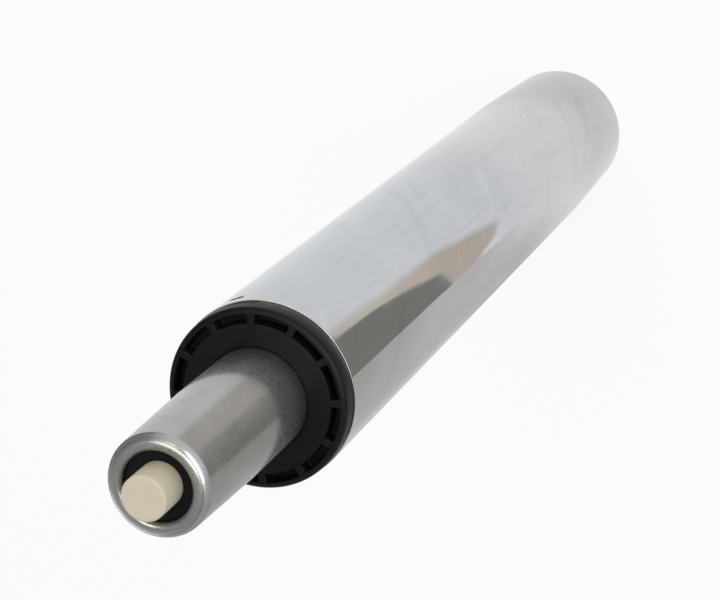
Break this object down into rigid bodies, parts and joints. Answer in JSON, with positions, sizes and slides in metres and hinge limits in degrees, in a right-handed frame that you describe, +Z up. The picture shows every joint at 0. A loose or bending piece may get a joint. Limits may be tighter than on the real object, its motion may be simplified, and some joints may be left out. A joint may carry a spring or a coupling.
{
  "type": "chair gas lift cylinder",
  "caption": "Compressed gas lift for a swivel chair: chromed column with tapered foot, ribbed black guide sleeve, tapered steel tube and cream release button.",
  "frame": {"origin": "centre of the column's bottom rim, where the lift stands when it is out of the chair", "axes": "+Z up the common axis of column, rod and tube to the release button; +X through a rib of the guide sleeve's flange"},
  "size_m": [0.05, 0.05, 0.3909],
  "materials": {
    "column_chrome": "bright chrome plate over ground tube",
    "tube_steel": "satin ground steel",
    "black_moulding": "black acetal moulding with a faint sheen",
    "cream_plastic": "cream moulding, half gloss",
    "zinc_steel": "zinc plated pressing",
    "bearing_steel": "hardened and polished",
    "cage_brass": "stamped brass",
    "valve_brass": "turned brass",
    "bumper_rubber": "moulded rubber",
    "seal_rubber": "greased nitrile rubber",
    "white_nylon": "natural nylon",
    "spring_steel": "oil blackened spring steel",
    "ground_rod": "hard chromed and ground",
    "drawn_steel": "bright drawn tube"
  },
  "bodies": {
    "column": {"outer_column": "column_chrome", "base_plate": "zinc_steel", "guide_sleeve": "black_moulding", "lower_bearing_race": "bearing_steel"},
    "cage": {"ball_cage": "cage_brass", "bearing_balls": "bearing_steel"},
    "rod": {"upper_bearing_race": "bearing_steel", "rubber_bumper": "bumper_rubber", "bumper_washer": "zinc_steel", "clip_washer": "zinc_steel", "retaining_clip": "spring_steel", "piston_rod": "ground_rod", "piston_washer": "zinc_steel", "piston": "valve_brass", "piston_seal": "seal_rubber", "piston_retainer": "zinc_steel"},
    "tube": {"pressure_tube": "tube_steel", "inner_cylinder": "drawn_steel", "seal_washer": "zinc_steel", "rod_seal": "seal_rubber", "rod_guide": "white_nylon", "stop_sleeve": "white_nylon", "valve_body": "valve_brass", "valve_body_rings": "seal_rubber", "pin_seal_rings": "seal_rubber", "gland_spacer": "white_nylon", "gland_bush": "white_nylon", "valve_cap": "black_moulding"},
    "button": {"release_button": "cream_plastic", "valve_pin": "bearing_steel"}
  },
  "joints": [
    {"name": "swivel", "type": "hinge", "parent": "column", "child": "rod", "pos_m": [0, 0, 0], "axis": [0, 0, 1], "continuous": true},
    {"name": "cage_spin", "type": "hinge", "parent": "column", "child": "cage", "pos_m": [0, 0, 0.01895], "axis": [0, 0, 1], "continuous": true},
    {"name": "height", "type": "slide", "parent": "rod", "child": "tube", "axis": [0, 0, 1], "range_m": [0, 0.2]},
    {"name": "release", "type": "slide", "parent": "tube", "child": "button", "axis": [0, 0, -1], "range_m": [0, 0.003], "stiffness_N_per_m": 1500, "springref_m": -0.002}
  ],
  "couplings": [
    {"joint": "cage_spin", "follows": "swivel", "ratio": 0.5}
  ]
}
